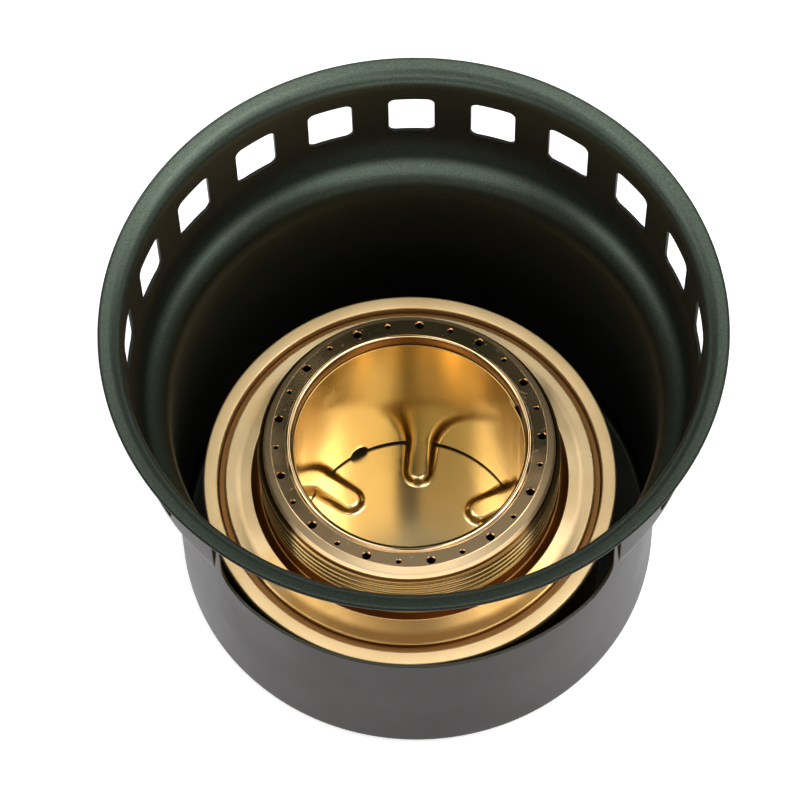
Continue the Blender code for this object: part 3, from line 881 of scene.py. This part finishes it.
def make_top(materials):
    """The burner's upper pressing, with a real thread and drilled jets."""
    crest_outer = COLLAR_RADIUS + CREST_WIDTH
    upper = rounded_path([
        (COLLAR_RADIUS, CREST_HEIGHT - COLLAR_DEPTH, 0.0),
        (COLLAR_RADIUS, CREST_HEIGHT, CREST_INNER_BEND),
        (crest_outer, CREST_HEIGHT, CREST_OUTER_BEND),
        (crest_outer, JET_RING_HEIGHT, CREST_FOOT_BEND),
        (JET_RING_RADIUS, JET_RING_HEIGHT - JET_RING_FALL, JET_RING_BEND),
        (NECK_EDGE_RADIUS, NECK_EDGE_HEIGHT, NECK_BEND),
        (THREAD_ROOT + THREAD_RUN_IN.x, THREAD_TOP + THREAD_RUN_IN.y, 0.0),
        (THREAD_ROOT, THREAD_TOP, 0.0),
    ])
    thread = []
    for step in range(1, THREAD_STEPS):
        share = step / THREAD_STEPS
        thread.append(Vector((THREAD_ROOT, THREAD_TOP + (THREAD_BOTTOM - THREAD_TOP) * share)))
    groove_floor = FLANGE_HEIGHT - GROOVE_DEPTH
    middle = (SHOULDER_RIM_RADIUS + SHOULDER_EDGE_RADIUS) / 2.0
    lower = rounded_path([
        (THREAD_ROOT, THREAD_BOTTOM, 0.0),
        (FOOT_CHANNEL_RADIUS, FLANGE_HEIGHT - FOOT_CHANNEL_DROP, FOOT_CHANNEL_BEND),
        (SHOULDER_RIM_RADIUS, FLANGE_HEIGHT + SHOULDER_RIM_RISE, SHOULDER_RIM_BEND),
        (middle, FLANGE_HEIGHT - SHOULDER_DISH, SHOULDER_DISH_BEND),
        (SHOULDER_EDGE_RADIUS, FLANGE_HEIGHT, SHOULDER_EDGE_BEND),
        (SHOULDER_EDGE_RADIUS, groove_floor, GROOVE_INNER_BEND),
        (SKIRT_RADIUS, groove_floor, GROOVE_OUTER_BEND),
        (SKIRT_RADIUS, groove_floor - SKIRT_DEPTH, 0.0),
    ])

    def cut_thread(radius, height, angle):
        """Push the neck's wall out along the thread."""
        if abs(radius - THREAD_ROOT) < 0.01 * MM and THREAD_BOTTOM < height < THREAD_TOP:
            return radius + thread_radius(height, angle), height
        return radius, height

    def top_brass(radius, height):
        """The brass of a place on the sheet, by its name."""
        channel = radius < SHOULDER_RIM_RADIUS - SHOULDER_RIM_BEND and height < THREAD_BOTTOM
        # The groove and the channel at the neck's foot take brass painted dark as shade and as the neck's
        # reflection
        if channel or radius > SHOULDER_EDGE_RADIUS - SLOT_MARGIN:
            return "shaded_groove_brass"
        if radius < COLLAR_RADIUS + SLOT_MARGIN / 2.0:
            return "stained_brass"
        if height > JET_RING_HEIGHT - JET_RING_FALL - SLOT_MARGIN / 2.0:
            return "polished_brass"
        if height < THREAD_BOTTOM:
            # The shoulder's rim and the neck's bevel take the brass without painted front shade
            return "satin_brass" if radius > SHOULDER_RIM_RADIUS + SHOULDER_RIM_BEND else "unshaded_brass"
        return "neck_brass" if height < NECK_EDGE_HEIGHT - NECK_BEND else "unshaded_brass"

    mesh = turned_mesh("top_shell", upper + thread + lower, BURNER_SEGMENTS, (BURNER_X, BURNER_Y), cut_thread,
                       lambda radius, height: TOP_BRASSES.index(top_brass(radius, height)))
    piece = finish_object("top_shell", mesh, "burner", materials, ["burner_top"])
    add_sheet(piece, TOP_SHEET)
    shapes = []
    for index in range(2 * JET_PAIRS):
        bore, mouth = SMALL_JET if index % 2 else LARGE_JET
        turn = JET_START_ANGLE + math.tau * index / (2 * JET_PAIRS)
        place = (Matrix.Translation((BURNER_X, BURNER_Y, JET_RING_HEIGHT)) @ Matrix.Rotation(turn, 4, "Z")
                 @ Matrix.Translation((JET_CIRCLE_RADIUS, 0.0, 0.0)))
        flare = (mouth - bore) / 2.0
        jet = bmesh.new()
        bmesh.ops.create_cone(jet, cap_ends=True, segments=JET_SEGMENTS, radius1=bore / 2.0,
                              radius2=bore / 2.0, depth=JET_TOOL_DEPTH, matrix=place)
        countersink = bmesh.new()
        bmesh.ops.create_cone(countersink, cap_ends=True, segments=JET_SEGMENTS, radius1=bore / 2.0 - flare,
                              radius2=mouth / 2.0 + flare, depth=flare * 4.0, matrix=place)
        shapes.append((jet, countersink))
    for group, label in ((0, "jet_bores"), (1, "jet_mouths")):
        tool = cutter(label, joined_mesh(label, [pair[group] for pair in shapes]))
        add_cut(piece, tool)
        bake_modifiers(piece)
        remove(tool)
    normals = piece.modifiers.new("normals", "WEIGHTED_NORMAL")
    normals.keep_sharp = True
    bake_modifiers(piece)
    return piece


def make_sleeve(materials):
    """The rolled sleeve with its overlapping seam and the fuel hole at its lower edge."""
    sweep = math.tau + OVERLAP_ANGLE
    strip = bmesh.new()
    columns = []
    for step in range(SLEEVE_STEPS + 1):
        angle = sweep * step / SLEEVE_STEPS
        share = min(max((angle - sweep + OVERLAP_ANGLE + RAMP_ANGLE) / RAMP_ANGLE, 0.0), 1.0)
        radius = SLEEVE_RADIUS - (SLEEVE_SHEET + OVERLAP_GAP) * share * share * (3.0 - 2.0 * share)
        x = BURNER_X + radius * math.cos(SEAM_ANGLE + angle)
        y = BURNER_Y + radius * math.sin(SEAM_ANGLE + angle)
        column = []
        for row in range(SLEEVE_ROWS + 1):
            height = SLEEVE_BOTTOM + (SLEEVE_TOP - SLEEVE_BOTTOM) * row / SLEEVE_ROWS
            column.append(strip.verts.new((x, y, height)))
        columns.append(column)
    for left, right in zip(columns, columns[1:]):
        for row in range(SLEEVE_ROWS):
            face = strip.faces.new((left[row], right[row], right[row + 1], left[row + 1]))
            face.smooth = True
    mesh = bpy.data.meshes.new("sleeve_strip")
    strip.to_mesh(mesh)
    strip.free()
    piece = finish_object("sleeve_strip", mesh, "burner", materials, ["inner_sleeve"])
    add_sheet(piece, SLEEVE_SHEET)
    hole = bmesh.new()
    foot = Matrix.Translation((BURNER_X, BURNER_Y, SLEEVE_BOTTOM))
    outward = Matrix.Translation((SLEEVE_RADIUS, 0.0, 0.0)) @ Matrix.Rotation(math.radians(90.0), 4, "Y")
    place = foot @ Matrix.Rotation(FUEL_HOLE_ANGLE, 4, "Z") @ outward
    bmesh.ops.create_cone(hole, cap_ends=True, segments=FUEL_HOLE_SEGMENTS, radius1=FUEL_HOLE_WIDTH / 2.0,
                          radius2=FUEL_HOLE_WIDTH / 2.0, depth=FUEL_HOLE_WIDTH, matrix=place)
    tool = cutter("fuel_hole", joined_mesh("fuel_hole", [hole]))
    add_cut(piece, tool)
    soften_edges(piece, SLEEVE_EDGE)
    bake_modifiers(piece)
    remove(tool)
    return piece


# Stage

def seen_or_mirrored(nodes, links):
    """A factor of 1 for rays that show the background: from the camera, off gloss or through glass."""
    light_path = nodes.new("ShaderNodeLightPath")
    factor = light_path.outputs["Is Camera Ray"]
    for name in ("Is Glossy Ray", "Is Transmission Ray"):
        either = nodes.new("ShaderNodeMath")
        either.operation = "MAXIMUM"
        links.new(factor, either.inputs[0])
        links.new(light_path.outputs[name], either.inputs[1])
        factor = either.outputs[0]
    return factor


def make_floor():
    """A wide pale floor that shows white and keeps the shadow."""
    sheet = bmesh.new()
    bmesh.ops.create_grid(sheet, x_segments=1, y_segments=1, size=FLOOR_SIZE)
    mesh = bpy.data.meshes.new("floor")
    sheet.to_mesh(mesh)
    sheet.free()
    floor = bpy.data.objects.new("floor", mesh)
    bpy.context.scene.collection.objects.link(floor)
    material, nodes, links, shader = new_material("floor_paper", (0.9, 0.9, 0.9), 0.0, 0.9)
    glow = nodes.new("ShaderNodeEmission")
    place = nodes.new("ShaderNodeTexCoord")
    distance = nodes.new("ShaderNodeVectorMath")
    distance.operation = "LENGTH"
    links.new(place.outputs["Object"], distance.inputs[0])
    strength = map_range(nodes, links, distance.outputs["Value"], FLOOR_GLOW, FAR_FLOOR_GLOW,
                         NEAR_FLOOR_RADIUS, FAR_FLOOR_RADIUS)
    links.new(strength, glow.inputs["Strength"])
    lit = nodes.new("ShaderNodeAddShader")
    mix = nodes.new("ShaderNodeMixShader")
    links.new(shader.outputs[0], lit.inputs[0])
    links.new(glow.outputs[0], lit.inputs[1])
    links.new(seen_or_mirrored(nodes, links), mix.inputs[0])
    links.new(shader.outputs[0], mix.inputs[1])
    links.new(lit.outputs[0], mix.inputs[2])
    links.new(mix.outputs[0], nodes["Material Output"].inputs["Surface"])
    mesh.materials.append(material)
    return floor


def make_world():
    """A studio room, the same for the camera, for metal and for light: a white horizon, a dark ceiling."""
    world = bpy.data.worlds.new("studio")
    bpy.context.scene.world = world
    world.use_nodes = True
    nodes = world.node_tree.nodes
    links = world.node_tree.links
    place = nodes.new("ShaderNodeTexCoord")
    split = nodes.new("ShaderNodeSeparateXYZ")
    links.new(place.outputs["Generated"], split.inputs[0])
    room = nodes.new("ShaderNodeValToRGB")
    room.color_ramp.elements[0].position = HORIZON_TOP
    room.color_ramp.elements[0].color = (1.0, 1.0, 1.0, 1.0)
    room.color_ramp.elements[1].position = CEILING_START
    room.color_ramp.elements[1].color = (*CEILING_COLOR, 1.0)
    links.new(split.outputs["Z"], room.inputs["Fac"])
    links.new(room.outputs["Color"], nodes["Background"].inputs["Color"])


def add_box(name, across, along, glow):
    """A soft box that hangs level: its reach in X, its reach in Y and how bright its face is."""
    lamp = bpy.data.lights.new(name, "AREA")
    lamp.shape = "RECTANGLE"
    lamp.size = across[1] - across[0]
    lamp.size_y = along[1] - along[0]
    lamp.energy = glow * math.pi * lamp.size * lamp.size_y
    item = bpy.data.objects.new(name, lamp)
    item.location = (sum(across) / 2.0, sum(along) / 2.0, BOX_HEIGHT)
    bpy.context.scene.collection.objects.link(item)
    return item


def make_camera():
    """The camera of the photograph."""
    data = bpy.data.cameras.new("camera")
    data.lens = CAMERA_LENS
    data.sensor_width = CAMERA_SENSOR
    data.shift_x = CAMERA_SHIFT
    data.clip_start, data.clip_end = CAMERA_CLIP
    camera = bpy.data.objects.new("camera", data)
    back = Vector((0.0, -math.cos(CAMERA_ELEVATION), math.sin(CAMERA_ELEVATION)))
    turn = Matrix.Rotation(CAMERA_AZIMUTH, 3, "Z")
    camera.location = turn @ (CAMERA_TARGET + back * CAMERA_DISTANCE)
    camera.rotation_euler = (math.radians(90.0) - CAMERA_ELEVATION, 0.0, CAMERA_AZIMUTH)
    bpy.context.scene.collection.objects.link(camera)
    bpy.context.scene.camera = camera


def main():
    """Dress the frame and set the stage."""
    bpy.context.scene.view_settings.view_transform = "Standard"
    brasses = {name: brass(name, *look) for name, look in BRASSES.items()}
    # The annulus and the neck get painted shade on their front; the neck also in the roots of its thread
    front_shaded(turned(brasses["satin_brass"]))
    scratched(brasses["polished_brass"])
    front_shaded(threaded(brasses["neck_brass"]))
    make_stand()
    make_cup([brasses[name] for name in CUP_BRASSES])
    make_top([brasses[name] for name in TOP_BRASSES])
    make_sleeve([brasses["rolled_brass"]])
    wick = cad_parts["wick"]
    wick.data.materials.clear()
    wick.data.materials.append(felt("wick_felt", *FELT))
    make_floor()
    make_world()
    for name, (across, along, glow) in BOXES.items():
        add_box(name, across, along, glow)
    make_camera()


main()
